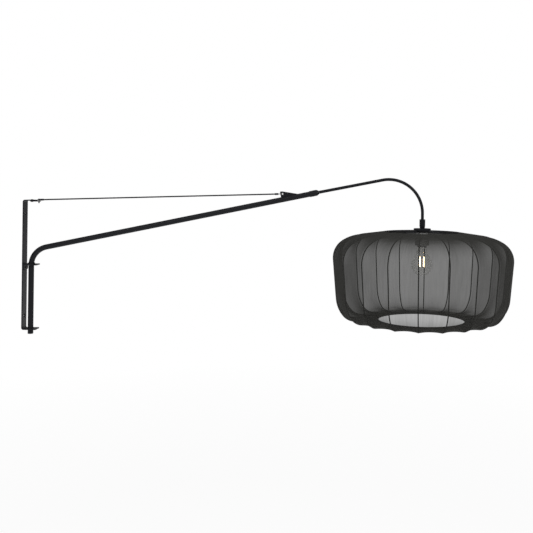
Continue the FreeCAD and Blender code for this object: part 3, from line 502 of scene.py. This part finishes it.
def makeCover():
    low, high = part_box("shade_cover")
    axis = Vector(((low.x + high.x) / 2, (low.y + high.y) / 2, 0))
    ringLow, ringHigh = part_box("top_ring")
    top = (ringLow.z + ringHigh.z) / 2
    profile = ribProfile()
    around = cover["ribCount"] * cover["stepsPerGore"]
    mesh = bmesh.new()
    gore = 2 * math.pi / cover["ribCount"]
    blend = range(-cover["saddleBlend"], cover["saddleBlend"] + 1)
    rings = []
    for i, (radius, depth, _, _, heading) in enumerate(profile):
        nearby = [profile[max(0, min(len(profile) - 1, i + k))][2] for k in blend]
        bend = sum(nearby) / len(nearby)
        outAcross, outUp = sine(heading), cosine(heading)
        ring = []
        for j in range(around):
            turn = math.radians(cover["firstRib"]) + 2 * math.pi * j / around
            share = (j % cover["stepsPerGore"]) / cover["stepsPerGore"]
            off = abs(share - 0.5) * gore                    # angle from the gore's middle
            sag = math.sin(math.pi * share)
            onRib = radius + cover["proud"] * outAcross
            flat = onRib * math.cos(gore / 2) / math.cos(off)   # chord between the two ribs
            pull = cover["saddle"] * sag * min(1.0, bend / cover["saddleFrom"])
            reach = flat - pull * outAcross
            height = top - depth + (cover["proud"] - pull) * outUp
            ring.append(mesh.verts.new((axis.x + reach * math.cos(turn), axis.y + reach * math.sin(turn),
                                        height)))
        rings.append(ring)
    joinRings(mesh, rings, [point[3] / profile[-1][3] for point in profile])
    return newPiece("gauzeCover", mesh)


gauzeCover = makeCover()
finishPiece(gauzeCover, finishes["gauze"], "arm", "gauze", "shade_cover")


# tape folded round each ring wire
hem = {
    "reach": 0.0019, "thickness": 0.0007,      # from the wire's centre line
    "around": 480, "across": 12,
    "pucker": 0.00022,
    "puckers": 140, "puckerLean": 2.0,         # number round the ring, radians of slant across
    "otherPuckers": 53, "otherLean": -3.0, "otherShare": 0.6,
    "atEdge": 0.3,                             # share of the puckers that is left at the tape's edges
    "topFold": (92, 272), "bottomFold": (78, 262),   # degrees round the wire, from straight outwards
}


def makeHem(name, ringNode, ringRadius, fold):
    low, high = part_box(ringNode)
    centre = (low + high) / 2
    mesh = bmesh.new()
    shares = [i / hem["across"] for i in range(hem["across"] + 1)]
    rings = []
    for share in shares:
        angle = fold[0] + (fold[1] - fold[0]) * share
        swell = hem["atEdge"] + (1 - hem["atEdge"]) * math.sin(math.pi * share)
        ring = []
        for j in range(hem["around"]):
            turn = 2 * math.pi * j / hem["around"]
            wave = math.sin(turn * hem["puckers"] + hem["puckerLean"] * share)
            wave += hem["otherShare"] * math.sin(turn * hem["otherPuckers"] + hem["otherLean"] * share)
            reach = hem["reach"] + hem["pucker"] * (0.5 + 0.5 * wave) * swell
            far = ringRadius + reach * cosine(angle)
            ring.append(mesh.verts.new((centre.x + far * math.cos(turn), centre.y + far * math.sin(turn),
                                        centre.z + reach * sine(angle))))
        rings.append(ring)
    joinRings(mesh, rings, shares)
    bmesh.ops.recalc_face_normals(mesh, faces=mesh.faces)
    piece = newPiece(name, mesh)
    pick(piece)
    bpy.ops.object.modifier_add(type="SOLIDIFY")
    wall = piece.modifiers[-1]
    wall.thickness = hem["thickness"]
    wall.offset = 1
    bpy.ops.object.modifier_apply(modifier=wall.name)
    return piece


topHem = makeHem("topHem", "top_ring", cover["topRadius"], hem["topFold"])
finishPiece(topHem, finishes["hem_tape"], "arm", "hem_tape", "top_hem")
bottomHem = makeHem("bottomHem", "bottom_ring", cover["bottomRadius"], hem["bottomFold"])
finishPiece(bottomHem, finishes["hem_tape"], "arm", "hem_tape", "bottom_hem")

clothLength = ribProfile()[-1][3]


room = {
    "floorDrop": 0.95, "floorReach": 9.0, "floorWhite": 0.86,
    "floorGlow": 0.86,                         # how near to plain white it looks below the lamp
    "whiteFrom": 1.0, "whiteAfter": 2.0,       # distances over which that rises to all white
    "worldLight": 0.75, "mirroredWorld": 0.27, "seenWhite": 1.0,
}
softboxes = [
    {"name": "keySoftbox", "place": (-0.4, -2.6, 1.9), "aim": (0.7, 0, 0.1), "size": (1.6, 1.2),
     "watts": 16},
    {"name": "fillSoftbox", "place": (2.8, -1.8, 1.2), "aim": (0.8, 0, 0.0), "size": (1.4, 1.4),
     "watts": 16},
    {"name": "topSoftbox", "place": (0.7, 0.6, 2.4), "aim": (0.7, 0, 0.1), "size": (2.2, 1.2),
     "watts": 6},
]


def makeFloor():
    low, high = cadBox
    deselectAll()
    bpy.ops.mesh.primitive_circle_add(vertices=96, radius=room["floorReach"], fill_type="NGON",
                                      location=((low.x + high.x) / 2, 0, -room["floorDrop"]))
    floor = takeNew("studioFloor")
    tree = Tree("paleFloor")
    seen = tree.node("ShaderNodeLightPath", {}, {}, "Is Camera Ray")
    through = tree.node("ShaderNodeLightPath", {}, {}, "Is Transmission Ray")
    reach = tree.node("ShaderNodeVectorMath", {"operation": "LENGTH"}, {0: tree.coords()}, "Value")
    far = ((reach - room["whiteFrom"]) / room["whiteAfter"]).clamped()
    share = (seen + through).clamped() * (room["floorGlow"] + far * (1 - room["floorGlow"]))
    matte = tree.node("ShaderNodeBsdfDiffuse", {}, {"Color": grey(room["floorWhite"])})
    white = tree.node("ShaderNodeEmission", {}, {"Color": grey(1.0), "Strength": room["seenWhite"]})
    floor.data.materials.append(tree.finish(
        tree.node("ShaderNodeMixShader", {}, {0: share, 1: matte, 2: white})))


# the world lights softly, shows dimmer in shiny surfaces, and is white to the camera
def makeWorld():
    world = bpy.data.worlds.new("studioWorld")
    bpy.context.scene.world = world
    world.use_nodes = True
    wires = world.node_tree
    wires.nodes.clear()
    output = wires.nodes.new("ShaderNodeOutputWorld")
    path = wires.nodes.new("ShaderNodeLightPath")
    straight = wires.nodes.new("ShaderNodeMath")
    straight.operation = "MAXIMUM"
    wires.links.new(path.outputs["Is Camera Ray"], straight.inputs[0])
    wires.links.new(path.outputs["Is Transmission Ray"], straight.inputs[1])

    def whiteBackground(strength):
        background = wires.nodes.new("ShaderNodeBackground")
        background.inputs["Color"].default_value = grey(1.0)
        background.inputs["Strength"].default_value = strength
        return background.outputs[0]

    sky = whiteBackground(room["worldLight"])
    for ray, strength in ((path.outputs["Is Glossy Ray"], room["mirroredWorld"]),
                          (straight.outputs[0], room["seenWhite"])):
        mix = wires.nodes.new("ShaderNodeMixShader")
        wires.links.new(ray, mix.inputs[0])
        wires.links.new(sky, mix.inputs[1])
        wires.links.new(whiteBackground(strength), mix.inputs[2])
        sky = mix.outputs[0]
    wires.links.new(sky, output.inputs["Surface"])


def addSoftbox(name, place, aim, size, watts):
    data = bpy.data.lights.new(name, "AREA")
    data.shape = "RECTANGLE"
    data.size, data.size_y = size
    data.energy = watts
    lamp = bpy.data.objects.new(name, data)
    bpy.context.scene.collection.objects.link(lamp)
    lamp.location = place
    lamp.rotation_euler = (Vector(aim) - Vector(place)).to_track_quat("-Z", "Y").to_euler()


makeFloor()
makeWorld()
for box in softboxes:
    addSoftbox(**box)
bpy.context.scene.view_settings.view_transform = "Standard"
print("studio set")
